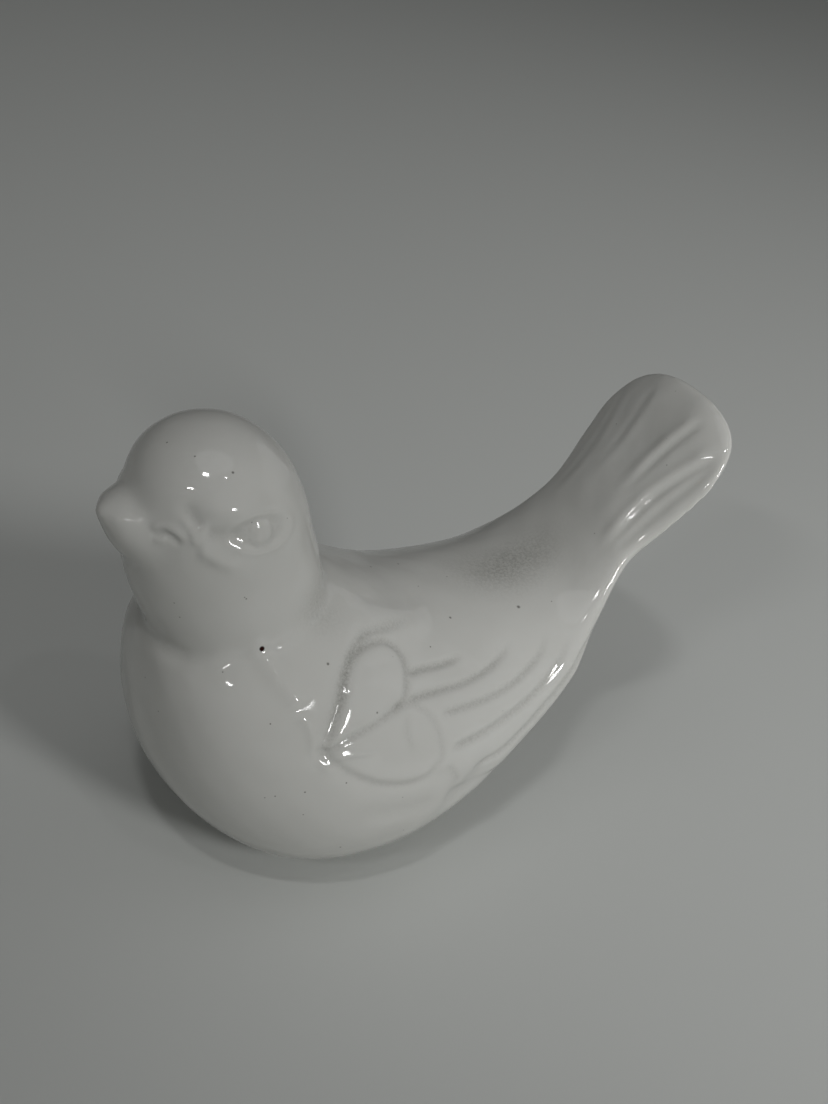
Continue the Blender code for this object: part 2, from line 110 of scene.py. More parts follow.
def rounded_knots(knots, per_span):
    """Smooth line through the knots; per_span gives the points for each span."""
    p = np.array(knots, float)
    line = []
    for i in range(1, len(p) - 2):
        a, b, c, d = p[i - 1:i + 3]
        count = per_span(b, c)
        t = (np.arange(count) / count)[:, None]
        line.append(0.5 * (2 * b + (c - a) * t + (2 * a - 5 * b + 4 * c - d) * t ** 2
                           + (3 * b - a - 3 * c + d) * t ** 3))
    line.append(p[-2][None])
    return np.vstack(line)


def cast_form(rows):
    """Closed skin through oval sections, its two ends single points."""
    p = np.array(rows, float)
    swap, flip = [2, 3, 0, 1, 4, 5, 6], np.array([1, 1, 1, 1, -1, 1, 1])
    rings = rounded_knots(np.vstack([p[1][swap] * flip, p, p[-2][swap] * flip]),
                          lambda b, c: SECTION_STEPS)
    turn = np.linspace(0, 2 * math.pi, SECTION_POINTS, endpoint=False)
    verts = [(0.0, -rings[0][0], rings[0][1])]
    for back_u, back_z, belly_u, belly_z, half, drop, square in rings[1:-1]:
        c = np.sign(np.cos(turn)) * np.abs(np.cos(turn)) ** (2 / square)
        s = np.sign(np.sin(turn)) * np.abs(np.sin(turn)) ** (2 / square)
        u = (back_u + belly_u) / 2 + (back_u - belly_u) / 2 * c
        z = (back_z + belly_z) / 2 + (back_z - belly_z) / 2 * c
        verts += list(zip(max(half, 0.05) * s * (1 - drop * c), -u, z))
    verts.append((0.0, -rings[-1][0], rings[-1][1]))
    n = SECTION_POINTS
    faces = [(0, 1 + (j + 1) % n, 1 + j) for j in range(n)]
    for i in range(len(rings) - 3):
        for j in range(n):
            a, b = 1 + i * n + j, 1 + i * n + (j + 1) % n
            faces.append((a, b, b + n, a + n))
    end, last = len(verts) - 1, 1 + (len(rings) - 3) * n
    faces += [(end, last + j, last + (j + 1) % n) for j in range(n)]
    return verts, faces


def run_together(forms):
    """One closed skin over all the lofted forms."""
    verts, faces = [], []
    for rows in forms:
        v, f = cast_form(rows)
        faces += [tuple(i + len(verts) for i in face) for face in f]
        verts += v
    mesh = bpy.data.meshes.new("cast_forms")
    mesh.from_pydata([(x * MM, y * MM, z * MM) for x, y, z in verts], [], faces)
    bm = bmesh.new()
    bm.from_mesh(mesh)
    bmesh.ops.recalc_face_normals(bm, faces=bm.faces)
    bm.to_mesh(mesh)
    bm.free()
    forms_obj = bpy.data.objects.new("cast_forms", mesh)
    bpy.context.scene.collection.objects.link(forms_obj)
    remesh = forms_obj.modifiers.new("one_skin", "REMESH")
    remesh.mode = "VOXEL"
    remesh.voxel_size = GRAIN * MM
    graph = bpy.context.evaluated_depsgraph_get()
    joined = bpy.data.meshes.new_from_object(forms_obj.evaluated_get(graph))
    bpy.data.objects.remove(forms_obj, do_unlink=True)
    return joined


def sponge(mesh, pts, weight, rounds):
    """Rounds of even smoothing of the wet clay, stronger where weight is near one."""
    edges = np.empty(len(mesh.edges) * 2, dtype=np.int64)
    mesh.edges.foreach_get("vertices", edges)
    a, b = edges.reshape(-1, 2).T
    count = np.bincount(np.concatenate([a, b]), minlength=len(pts)).astype(float)
    for _ in range(rounds):
        total = np.stack([np.bincount(a, pts[b, k], len(pts))
                          + np.bincount(b, pts[a, k], len(pts)) for k in range(3)], axis=1)
        pts = pts + (total / count[:, None] - pts) * (0.5 * weight)[:, None]
    return pts


def ease(low, high, value):
    """Zero below low, one above high and a soft step between them."""
    t = np.clip((value - low) / (high - low), 0, 1)
    return t * t * (3 - 2 * t)


def ridge(dist, width):
    """One on a line, dropping softly to nothing over about twice the width."""
    return np.exp(-(dist / width) ** 2)


def near_line(pts, line, reach):
    """Distance of each point to a line of close points, and its share along it."""
    dist = np.full(len(pts), 1e3)
    along = np.zeros(len(pts))
    pick = np.where(((pts > line.min(0) - reach) & (pts < line.max(0) + reach)).all(1))[0]
    best = np.full(len(pick), 1e6)
    share = np.zeros(len(pick))
    for i in range(len(line) - 1):
        a, ab = line[i], line[i + 1] - line[i]
        t = np.clip(((pts[pick] - a) @ ab) / (ab @ ab + 1e-9), 0, 1)
        d = np.linalg.norm(pts[pick] - (a + t[:, None] * ab), axis=1)
        nearer = d < best
        best[nearer] = d[nearer]
        share[nearer] = (i + t[nearer]) / (len(line) - 1)
    dist[pick] = best
    along[pick] = share
    return dist, along


def meeting_ring(half, u, u_swing, z, z_swing):
    """Points round a ring where two forms meet."""
    turn = np.linspace(0, 2 * math.pi, 60)
    return np.stack([half * np.sin(turn), -(u + u_swing * np.cos(turn)),
                     z + z_swing * np.cos(turn)], axis=1)


cast = run_together((BODY, HEAD, BEAK))
skin = np.empty(len(cast.vertices) * 3)
cast.vertices.foreach_get("co", skin)
skin = skin.reshape(-1, 3) / MM
skin = sponge(cast, skin, np.ones(len(skin)), EVEN_ROUNDS)
from_neck, _ = near_line(skin, meeting_ring(*NECK_RING), RING_REACH)
from_beak, _ = near_line(skin, meeting_ring(*BEAK_RING), RING_REACH)
throat = ease(24, 38, -skin[:, 1])
soft = np.maximum(1 - ease(FULLY_SOFT, NECK_SOFT + THROAT_SOFT * throat, from_neck),
                  1 - ease(FULLY_SOFT, BEAK_SOFT, from_beak))
skin = sponge(cast, skin, soft, CREASE_ROUNDS)
cast.vertices.foreach_set("co", (skin * MM).ravel())
cast.update()
facing = np.empty(len(skin) * 3)
cast.vertex_normals.foreach_get("vector", facing)
facing = facing.reshape(-1, 3)
smooth_cast = BVHTree.FromPolygons([tuple(v) for v in skin],
                                   [tuple(f.vertices) for f in cast.polygons])

# The carving is the same on both sides, so it is worked out on folded points
# and gathered as one height, in millimetres outwards from the smooth cast.
left = skin.copy()
left[:, 0] = np.abs(left[:, 0])
side_u, side_z = -left[:, 1], left[:, 2]
carving = -THROAT_CUT * ridge(from_neck, THROAT_CUT_WIDTH) * ease(36, 43, side_u)

# Folded wings: each is a thin plate of the same cast, two rounded lobes and five
# long flight feathers behind them, drawn together at a pinched point low on the
# shoulder. They are carved in the mould and half filled by thick glaze.
BESIDE = 60.0               # mm out from the middle, clear of the wing
WING_EDGE = [
    (23.6, 37.0), (21.0, 41.5), (18.6, 45.4), (15.0, 49.4), (10.2, 51.0), (5.0, 50.0),
    (-3.0, 48.2), (-12.0, 46.8), (-24.0, 46.2), (-35.0, 47.0), (-43.5, 48.4), (-43.5, 44.5),
    (-39.0, 38.0), (-32.0, 30.6), (-24.0, 24.8), (-15.0, 21.2), (-6.5, 21.4), (-3.4, 24.6),
    (-1.2, 28.0), (5.0, 28.0), (11.0, 29.0), (16.5, 31.6), (21.4, 35.0),
]
WING_RAISE = 0.4
WING_TOP = [
    (22.4, 38.3), (20.4, 42.3), (18.4, 45.2), (16.6, 47.7), (14.6, 49.7), (12.1, 50.7),
    (9.2, 51.1), (5.0, 50.2), (0.2, 49.0), (-5.2, 47.9),
]
# each lobe's outline, how strongly it is cut and how much painted shade its groove gets
LOBES = [
    ([(22.0, 38.2), (19.7, 42.4), (17.8, 45.3), (16.1, 47.7), (14.1, 49.4), (11.5, 50.1),
      (7.7, 49.7), (4.4, 48.4), (2.8, 46.6), (2.8, 45.1), (3.6, 43.4), (5.0, 41.8),
      (7.2, 41.0), (10.3, 40.4), (13.5, 39.8), (17.4, 39.2), (21.6, 38.0)], 1.0, 0.6),
    ([(7.2, 41.0), (4.5, 40.8), (2.4, 39.7), (0.7, 37.9), (-0.5, 35.6), (-0.8, 32.7),
      (-0.3, 30.4), (1.4, 29.0), (3.8, 28.2), (7.3, 28.2), (11.5, 29.2), (15.3, 31.0),
      (18.6, 33.4), (21.6, 36.4)], 0.6, 0.3),
]
# line on the side view, depth, width, how much of each end fades away: the arc
# inside the lower lobe, a feather's tip at the wing's edge and the five feathers
FEATHER_GROOVES = [
    ([(4.7, 39.7), (5.8, 38.3), (6.0, 36.0), (5.0, 32.8)], 0.15, 0.7, 0.3, 0.3),
    ([(-1.6, 29.2), (-3.4, 26.8), (-5.0, 23.4)], 0.22, 0.6, 0.3, 0.2),
    ([(3.0, 44.2), (0.1, 43.9), (-3.5, 43.3), (-7.2, 42.9), (-11.1, 43.0)],
     0.42, 0.6, 0.1, 0.3),
    ([(5.2, 41.2), (1.8, 40.9), (-2.9, 40.4), (-7.8, 39.9), (-11.7, 39.9), (-15.9, 40.4),
      (-20.0, 41.6), (-23.4, 43.1)], 0.42, 0.6, 0.1, 0.3),
    ([(-1.0, 37.4), (-7.8, 36.8), (-12.8, 36.5), (-17.9, 36.8), (-21.8, 37.7), (-25.4, 39.1),
      (-28.4, 41.0), (-30.8, 43.8)], 0.42, 0.6, 0.1, 0.3),
    ([(-2.0, 31.6), (-8.9, 31.3), (-14.1, 31.7), (-19.4, 32.7), (-23.5, 33.9), (-27.4, 35.9),
      (-30.7, 38.3), (-35.4, 42.4)], 0.42, 0.6, 0.1, 0.3),
    ([(-8.0, 24.6), (-18.0, 26.6), (-27.0, 31.2), (-35.0, 37.4), (-40.0, 41.3),
      (-41.5, 46.4)], 0.42, 0.6, 0.1, 0.3),
]
PINCH = [(23.2, 37.2), (22.8, 37.2)]
PINCH_DEPTH, PINCH_WIDTH = 0.8, 1.7
# line, height, width, how much of each end fades away: four pleats that spread
# from the pinch, its lip, the crease below the wing and the ridge to the neck
SHOULDER_LINES = [
    ([(22.7, 38.0), (21.4, 40.0), (20.0, 41.9), (18.6, 43.6)], 0.4, 0.55, 0.2, 0.5),
    ([(22.5, 37.6), (20.5, 39.9), (18.4, 41.2)], 0.4, 0.55, 0.2, 0.5),
    ([(22.6, 36.9), (19.1, 38.2), (15.5, 38.8), (13.5, 38.9)], 0.4, 0.55, 0.2, 0.5),
    ([(22.4, 36.3), (18.4, 36.5), (14.7, 36.0), (11.0, 35.0)], 0.4, 0.55, 0.2, 0.5),
    ([(28.0, 44.6), (25.6, 43.6), (24.6, 41.6), (24.5, 39.4), (24.3, 37.4), (22.9, 35.4),
      (20.4, 33.2)], 0.4, 0.9, 0.2, 0.25),
    ([(18.0, 23.4), (8.0, 22.6), (-1.0, 21.8)], -0.35, 2.4, 0.4, 0.2),
    ([(32.3, 54.6), (30.1, 52.5), (28.9, 50.2), (27.1, 47.9), (25.6, 45.4)],
     0.5, 1.8, 0.15, 0.1),
]
# line, height, width: the full rear edge of the wing, the notch in front of it
# and the swollen nape
SWELLS = [
    ([(-33.0, 36.0), (-28.0, 31.5), (-22.0, 27.5), (-15.5, 24.5)], 0.55, 3.0),
    ([(-10.0, 22.3), (-5.0, 20.8)], -0.75, 3.0),
    ([(6.0, 51.5), (-3.0, 48.2)], 0.5, 3.5),
]


def flank_point(u, z):
    """The spot on the left flank of the cast at a side-view point, if any."""
    return smooth_cast.ray_cast(Vector((BESIDE, -u, z)), Vector((-1, 0, 0)))[0]


def with_ends(knots):
    """The knots with one more at each end, to carry the curve through them all."""
    p = np.array(knots, float)
    return np.vstack([2 * p[0] - p[1], p, 2 * p[-1] - p[-2]])


def on_flank(knots):
    """A side-view curve laid on the left flank of the cast."""
    curve = rounded_knots(with_ends(knots),
                          lambda b, c: max(2, int(np.linalg.norm(c - b) / 0.5)))
    spots = [flank_point(u, z) for u, z in curve]
    return np.array([spot[:] for spot in spots if spot is not None])


def inside(outline, u, z):
    """True where a side-view point lies in a closed outline."""
    hit = np.zeros(len(u), bool)
    for (u0, z0), (u1, z1) in zip(outline, np.roll(outline, -1, axis=0)):
        crosses = (z0 > z) != (z1 > z)
        hit ^= crosses & (u < (u1 - u0) * (z - z0) / (z1 - z0 + 1e-12) + u0)
    return hit


def fade(along, start, end):
    """One along the middle of a line, dropping to zero at its ends."""
    return ease(0, start, along) * ease(0, end, 1 - along)


wing_line = on_flank(WING_EDGE + WING_EDGE[:1])
from_edge, _ = near_line(left, wing_line, 6)
outline = np.stack([-wing_line[:, 1], wing_line[:, 2]], axis=1)
on_wing = inside(outline, side_u, side_z) & (left[:, 0] > 6)
inward = np.where(on_wing, np.minimum(from_edge, 6), -from_edge)
fore = ease(-46, -36, side_u)
upper = ((1 - ease(-2, 16, side_u)) * ease(37, 42, side_z)
         + ease(45, 49, side_z) * ease(-4, 2, side_u))
carving += WING_RAISE * ease(-0.9, 1.5, inward) * fore * (1 - np.clip(upper, 0, 1))
d, t = near_line(left, on_flank(WING_TOP), 7)
carving -= (0.34 * ridge(d, 0.8) + 0.16 * ridge(d, 2.2)) * fade(t, 0.05, 0.5)

# Painted shade: the cut grooves of the lobes and feathers are gathered here and later painted
# grey in the glaze, darker where they are cut deeper.
groove_shade = np.zeros(len(skin))
for knots, strength, groove_shade_share in LOBES:
    d, _ = near_line(left, on_flank(knots), 5)
    carving -= (0.38 * ridge(d, 0.7) + 0.16 * ridge(d, 2.0)) * strength
    groove_shade += groove_shade_share * ridge(d, 0.8)
for knots, depth, width, start, end in FEATHER_GROOVES:
    d, t = near_line(left, on_flank(knots), 5)
    carving -= (depth * ridge(d, width) + 0.3 * depth * ridge(d, 2.2)) * fade(t, start, end)
    groove_shade += 1.7 * depth * ridge(d, 0.8) * fade(t, start, end)
d, _ = near_line(left, on_flank(PINCH), 9)
carving -= PINCH_DEPTH * ridge(d, PINCH_WIDTH)
for knots, height, width, start, end in SHOULDER_LINES:
    d, t = near_line(left, on_flank(knots), 9)
    carving += height * ridge(d, width) * fade(t, start, end)
for knots, height, width in SWELLS:
    d, _ = near_line(left, on_flank(knots), 9)
    carving += height * ridge(d, width)

# Tail feathers: the tail is a flat paddle of long rounded feathers laid side by
# side in the mould. Each one's edge is a low step under thick glaze, softer
# below, and the upper face falls from its middle to both edges.
TAIL_FROM = (-46.0, 52.4)
TAIL_TO = (-70.6, 78.6)
TAIL_MIDDLE = 3.5           # how far the tail's middle plane lies below its upper face
TAIL_ROOF = 1.8             # how far the upper face falls from its middle to its edges
FAR_ROOF = 0.5              # share of that fall on the bird's right half
FAR_STEPS = 0.35            # share of the steps' height there
# side-view u and distance from the middle along each feather's edge, how much
# its near end fades away, and the height of its step
TAIL_STEPS = [
    ([(-46.0, 10.3), (-51.3, 9.9), (-56.0, 10.3), (-60.0, 11.8), (-63.4, 13.5), (-66.6, 14.8)],
     0.25, 0.34),
    ([(-52.5, 4.7), (-58.0, 4.9), (-61.0, 5.3), (-64.1, 6.1), (-68.4, 7.6)], 0.5, 0.30),
]
TAIL_RIM = [(-47.0, 12.4), (-51.7, 12.7), (-55.0, 13.4), (-58.4, 14.3), (-62.5, 15.4),
            (-65.6, 15.6), (-67.6, 14.0)]
TAIL_RIM_DEPTH = 0.3

run = Vector((0, TAIL_FROM[0] - TAIL_TO[0], TAIL_TO[1] - TAIL_FROM[1])).normalized()
tail_out = np.array((0, -run.z, run.y))


def on_tail(knots, below):
    """A line of (u, x) knots laid on the upper or lower face of the tail."""
    out_of_face = Vector(tail_out) * (-1 if below else 1)
    points = []
    for u, x in rounded_knots(with_ends(knots),
                              lambda b, c: max(2, int(np.linalg.norm(c - b) / 0.4))):
        z = np.interp(-u, (-TAIL_FROM[0], -TAIL_TO[0]), (TAIL_FROM[1], TAIL_TO[1]))
        hit = smooth_cast.ray_cast(Vector((x, -u, z)) + out_of_face * 30, -out_of_face)[0]
        if hit is not None:
            points.append(hit[:])
    return np.array(points)


left_half = ease(-3, 3, skin[:, 0])
above_tail = (skin - (0, -TAIL_FROM[0], TAIL_FROM[1] - TAIL_MIDDLE)) @ tail_out
tail_roof = (TAIL_ROOF * ease(3, 19, left[:, 0]) * ease(-2, 4, above_tail)
             * ease(44, 54, -side_u) * (FAR_ROOF + (1 - FAR_ROOF) * left_half))
step_share = FAR_STEPS + (1 - FAR_STEPS) * left_half
for below in (False, True):
    for knots, start, height in TAIL_STEPS:
        line = on_tail(knots, below)
        d, t = near_line(left, line, 6)
        d *= np.sign(left[:, 0] - np.interp(t, np.linspace(0, 1, len(line)), line[:, 0]))
        step = 0.8 * ridge(d + 1.2, 1.3) - ridge(d - 0.5, 0.9)
        carving += height * (0.4 if below else 1.0) * step * fade(t, start, 0.15) * step_share
d, t = near_line(left, on_tail(TAIL_RIM, False), 5)
carving -= TAIL_RIM_DEPTH * ridge(d, 1.1) * fade(t, 0.12, 0.3) * step_share

# Face: the eye is a small ball with a pricked pupil in an almond recess, under
# a swollen brow. A crease runs from it round the root of the beak, and the
# mouth is a soft line with a lip above and below it, half lost under the glaze.
EYE = (30.6, 76.6)
EYE_TILT = 0.1
EYE_LENGTH = 5.6
EYE_HEIGHT = 3.0
EYE_RECESS = 0.5
EYE_LID = 0.2
EYE_BALL, EYE_BALL_HEIGHT = 2.3, 0.8
PUPIL = (31.9, 76.4)
PUPIL_WIDTH, PUPIL_DEPTH = 0.55, 0.22
# line on the side view, height, width, how much of each end fades away: the
# beak's ridge, the lip, mouth and lower lip, the beak's root, then the crease
# before the brow, the brow, the line to the eye and the cheek
FACE_LINES = [
    ([(52.6, 76.6), (49.5, 76.8), (47.4, 76.2)], 0.225, 1.2, 0.3, 0.3),
    ([(47.2, 75.9), (45.9, 77.0), (44.8, 77.2), (43.6, 76.7), (42.2, 75.4)],
     0.33, 0.7, 0.2, 0.2),
    ([(47.4, 75.3), (46.2, 75.6), (45.3, 76.2), (44.2, 75.6), (43.2, 74.5)],
     -0.42, 0.6, 0.2, 0.25),
    ([(47.0, 74.6), (45.9, 74.8), (45.0, 74.7)], 0.27, 0.7, 0.3, 0.3),
    ([(43.6, 80.6), (42.3, 78.4), (41.6, 77.0), (41.5, 75.6), (41.6, 74.8)],
     0.36, 0.8, 0.4, 0.2),
    ([(42.6, 83.0), (42.0, 80.6), (41.0, 78.2)], -0.6, 1.7, 0.5, 0.1),
    ([(40.6, 83.6), (39.2, 82.3), (37.2, 81.3), (33.5, 80.7), (29.7, 80.3)],
     0.48, 1.8, 0.3, 0.6),
    ([(40.6, 77.3), (38.3, 77.2), (36.0, 76.8), (33.5, 76.2)], -0.63, 1.5, 0.2, 0.3),
    ([(41.4, 74.4), (39.4, 73.6), (37.3, 72.2), (33.9, 70.3)], 0.54, 1.3, 0.15, 0.6),
]

e = left - np.array(flank_point(*EYE)[:])
e_along = -e[:, 1] * math.cos(EYE_TILT) + e[:, 2] * math.sin(EYE_TILT)
e_across = e[:, 1] * math.sin(EYE_TILT) + e[:, 2] * math.cos(EYE_TILT)
near_eye = (np.abs(e[:, 0]) < 6) & (np.linalg.norm(e, axis=1) < 9)
r = np.sqrt((e_along / EYE_LENGTH) ** 2 + (e_across / EYE_HEIGHT) ** 2)
ball = np.sqrt(np.clip(1 - (e_along ** 2 + e_across ** 2) / EYE_BALL ** 2, 0, 1))
carving += near_eye * (EYE_LID * ridge(r - 1.12, 0.16) + EYE_BALL_HEIGHT * ball
                       - EYE_RECESS * (1 - ease(0.6, 1.05, r)))
from_pupil = np.linalg.norm(left - np.array(flank_point(*PUPIL)[:]), axis=1)
carving -= PUPIL_DEPTH * ridge(from_pupil, PUPIL_WIDTH)
for knots, height, width, start, end in FACE_LINES:
    d, t = near_line(left, on_flank(knots), 7)
    carving += height * ridge(d, width) * fade(t, start, end)

# Finished bird and its foot: the carved cast, slightly wavy as a hand-sponged
# piece is, stands on a flat foot wiped clean of glaze. It takes the place of
# the plain CAD solid, whose box gives its length and place.
FOOT_ROUND = 0.25           # mm, the soft edge of the foot
WAVE_HEIGHT = 0.05          # mm, on waves about 11 mm long
# iron specks worth placing, as x, side-view u and z in millimetres, and radius
SPECKS = [
    (6.6, 39.1, 87.7, 0.22), (10.9, 34.2, 86.1, 0.30), (1.0, 41.7, 87.8, 0.22),
    (16.6, 33.3, 64.6, 0.20), (21.0, 19.0, 50.2, 0.34), (-3.0, -2.1, 50.8, 0.26),
    (-5.2, -9.5, 48.4, 0.26), (11.9, -11.6, 46.4, 0.34), (12.1, -26.9, 45.2, 0.46),
    (17.4, -4.3, 45.3, 0.22), (27.1, 11.6, 41.7, 0.26), (31.3, 19.0, 31.3, 0.22),
    (29.8, 26.3, 30.4, 0.24), (27.9, 31.1, 29.5, 0.20), (24.8, 31.4, 43.4, 0.20),
    (30.2, 18.2, 14.9, 0.24),
]
PINHOLE_AT = (17.2, 30.1, 53.8)
PINHOLE_RADIUS = 0.5
GLAZE_WHITE = "#d3d3cf"
GLAZE_SHADE = "#cacac5"
# grey of settled dirt, also used as painted shade in the grooves and hollows
DIRT_AND_SHADE_GREY = "#6c6b63"
IRON = "#55524b"
PINHOLE = "#2a0d08"
BARE_CLAY = "#b9b3a6"
CLOUD_SIZE = 18.18          # mm across the glaze's milky clouds
GRAIN_OF_DIRT = 0.5263      # mm between the grains of settled dirt
FINE_SPECK_GAP = 4.762      # mm between the finest specks
SMEAR_SIZE = 11.11          # mm across the duller and brighter patches of gloss
RIPPLE_SIZE = 3.846         # mm across the ripples of the fired glaze

wave = (np.sin(left[:, 0] * 0.61 + 1.3) * np.sin(left[:, 1] * 0.53 + 0.4)
        * np.sin(left[:, 2] * 0.57 + 2.1))
carved = (skin + facing * (carving + WAVE_HEIGHT * wave)[:, None]
          - tail_roof[:, None] * tail_out)
carved[:, 2] = (carved[:, 2] + np.sqrt(carved[:, 2] ** 2 + FOOT_ROUND ** 2)) / 2
carved[:, 2] -= carved[:, 2].min()
low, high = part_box("bird_figurine")
span = carved[:, 1].max() - carved[:, 1].min()
share = (high.y - low.y) / MM / span
middle = np.array([(low.x + high.x) / 2 / MM, (low.y + high.y) / 2 / MM, low.z / MM])
offset = np.array([0, (carved[:, 1].max() + carved[:, 1].min()) / 2, 0])
placed = (carved - offset) * share + middle
cast.vertices.foreach_set("co", (placed * MM).ravel())

# Where dust and kiln dirt have settled: the dip before the tail, the groove over the upper
# lobe and the side of the neck. The carved grooves and, faintly, every other hollow get
# painted shade in the same grey, more where they are cut deeper.
dip = (ridge(side_u + 29, 9.0) * ridge(skin[:, 0] - 1.5, 6.0)
       + 0.5 * ridge(side_u + 38, 6.0) * ridge(skin[:, 0] + 2, 5.0))
over_lobe, t = near_line(left, on_flank(WING_TOP), 5)
neck_side = np.linalg.norm(skin - (13.5, -17.5, 57.0), axis=1)
# the last two terms, the grooves and every other hollow, are painted shade
dust_and_shade = (0.6 * dip * ease(0.5, 0.9, facing[:, 2])
        + 0.3 * ridge(over_lobe, 1.3) * fade(t, 0.3, 0.3)
        + 0.3 * ridge(neck_side, 4.5)
        + 0.42 * np.clip(groove_shade, 0, 1)
        + 0.3 * np.clip(-carving - 0.15, 0, 0.4))
attribute = cast.attributes.new("dust_and_shade", "FLOAT", "POINT")
attribute.data.foreach_set("value", np.clip(dust_and_shade, 0, 1).astype(np.float32))
cast.polygons.foreach_set("use_smooth", [True] * len(cast.polygons))
cast.update()
cast.name = "glazed_bird"
bird = bpy.data.objects.new("glazed_bird", cast)
bpy.context.scene.collection.objects.link(bird)
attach(bird, "root")
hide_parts("bird_figurine")


def colour(hex_code):
    """Linear colour of an sRGB hex value."""
    parts = [int(hex_code[i:i + 2], 16) / 255 for i in (1, 3, 5)]
    return (*[c / 12.92 if c <= 0.04045 else ((c + 0.055) / 1.055) ** 2.4 for c in parts], 1)


def add_node(tree, kind, settings=None, **inputs):
    """A node with its settings; an input is a socket to link from, or a value."""
    node = tree.nodes.new(kind)
    for key, value in (settings or {}).items():
        setattr(node, key, value)
    for key, value in inputs.items():
        by_number = key[0] == "i" and key[1:].isdigit()
        socket = node.inputs[int(key[1:])] if by_number else node.inputs[key]
        if isinstance(value, bpy.types.NodeSocket):
            tree.links.new(value, socket)
        else:
            socket.default_value = value
    return node


def on_placed(x, u, z):
    """A spot on the finished bird, in metres, from its place on the cast."""
    return tuple(((np.array((x, -u, z)) - offset) * share + middle) * MM)


# White tin glaze over earthenware: a smooth glass skin on a milky white body.
# It gives small sharp highlights, softened carving, a few iron specks and one burst pinhole,
# and a grey that is settled dirt in the dip, over the upper lobe and beside the neck and
# painted shade in the grooves and hollows. The foot is bare clay.
OVER = {"data_type": "RGBA"}
glaze = bpy.data.materials.new("white_tin_glaze")
glaze.use_nodes = True
tree = glaze.node_tree
shader = tree.nodes["Principled BSDF"]
shader.inputs["IOR"].default_value = 1.5
shader.inputs["Subsurface Weight"].default_value = 0.3
shader.inputs["Subsurface Radius"].default_value = (1.0, 0.95, 0.9)
shader.inputs["Subsurface Scale"].default_value = 1.6 * MM
place = add_node(tree, "ShaderNodeTexCoord").outputs["Object"]

clouds = add_node(tree, "ShaderNodeTexNoise", Vector=place, Scale=1 / (CLOUD_SIZE * MM),
                  Detail=3.0)
milk = add_node(tree, "ShaderNodeMix", OVER, i0=clouds.outputs["Fac"],
                i6=colour(GLAZE_WHITE), i7=colour(GLAZE_SHADE))
grains = add_node(tree, "ShaderNodeTexNoise", Vector=place, Scale=1 / (GRAIN_OF_DIRT * MM),
                  Detail=4.0, Roughness=0.75)
grainy = add_node(tree, "ShaderNodeMapRange", i0=grains.outputs["Fac"],
                  i1=0.4, i2=0.66, i3=0.35, i4=1.0)
# The grey from the mesh's mask, broken into grains: settled dirt in the dip, over the upper
# lobe and beside the neck, and painted shade in the grooves and hollows.
settled_and_shaded = add_node(tree, "ShaderNodeAttribute", {"attribute_name": "dust_and_shade"})
settled_and_shaded = add_node(tree, "ShaderNodeMath", {"operation": "MULTIPLY"},
                   i0=settled_and_shaded.outputs["Fac"], i1=grainy.outputs[0])
dusted_and_shaded = add_node(tree, "ShaderNodeMix", OVER, i0=settled_and_shaded.outputs[0],
                 i6=milk.outputs[2], i7=colour(DIRT_AND_SHADE_GREY))

cells = add_node(tree, "ShaderNodeTexVoronoi", Vector=place, Scale=1 / (FINE_SPECK_GAP * MM))
specks = add_node(tree, "ShaderNodeMapRange", i0=cells.outputs["Distance"],
                  i1=0.038, i2=0.018, i3=0.0, i4=0.6)
for x, u, z, radius in SPECKS:
    away = add_node(tree, "ShaderNodeVectorMath", {"operation": "DISTANCE"},
                    i0=place, i1=on_placed(x, u, z))
    spot = add_node(tree, "ShaderNodeMapRange", i0=away.outputs["Value"],
                    i1=radius * MM, i2=radius * 0.4 * MM, i3=0.0, i4=0.75)
    specks = add_node(tree, "ShaderNodeMath", {"operation": "MAXIMUM"},
                      i0=specks.outputs[0], i1=spot.outputs[0])
specked = add_node(tree, "ShaderNodeMix", OVER, i0=specks.outputs[0],
                   i6=dusted_and_shaded.outputs[2], i7=colour(IRON))

away = add_node(tree, "ShaderNodeVectorMath", {"operation": "DISTANCE"},
                i0=place, i1=on_placed(*PINHOLE_AT))
burst = add_node(tree, "ShaderNodeMapRange", i0=away.outputs["Value"],
                 i1=PINHOLE_RADIUS * 1.15 * MM, i2=PINHOLE_RADIUS * 0.75 * MM, i3=0.0, i4=1.0)
holed = add_node(tree, "ShaderNodeMix", OVER, i0=burst.outputs[0],
                 i6=specked.outputs[2], i7=colour(PINHOLE))
level_up = add_node(tree, "ShaderNodeSeparateXYZ", i0=place)
bare = add_node(tree, "ShaderNodeMapRange", i0=level_up.outputs["Z"],
                i1=0.5 * MM, i2=0.2 * MM, i3=0.0, i4=1.0)
footed = add_node(tree, "ShaderNodeMix", OVER, i0=bare.outputs[0],
                  i6=holed.outputs[2], i7=colour(BARE_CLAY))
tree.links.new(footed.outputs[2], shader.inputs["Base Color"])

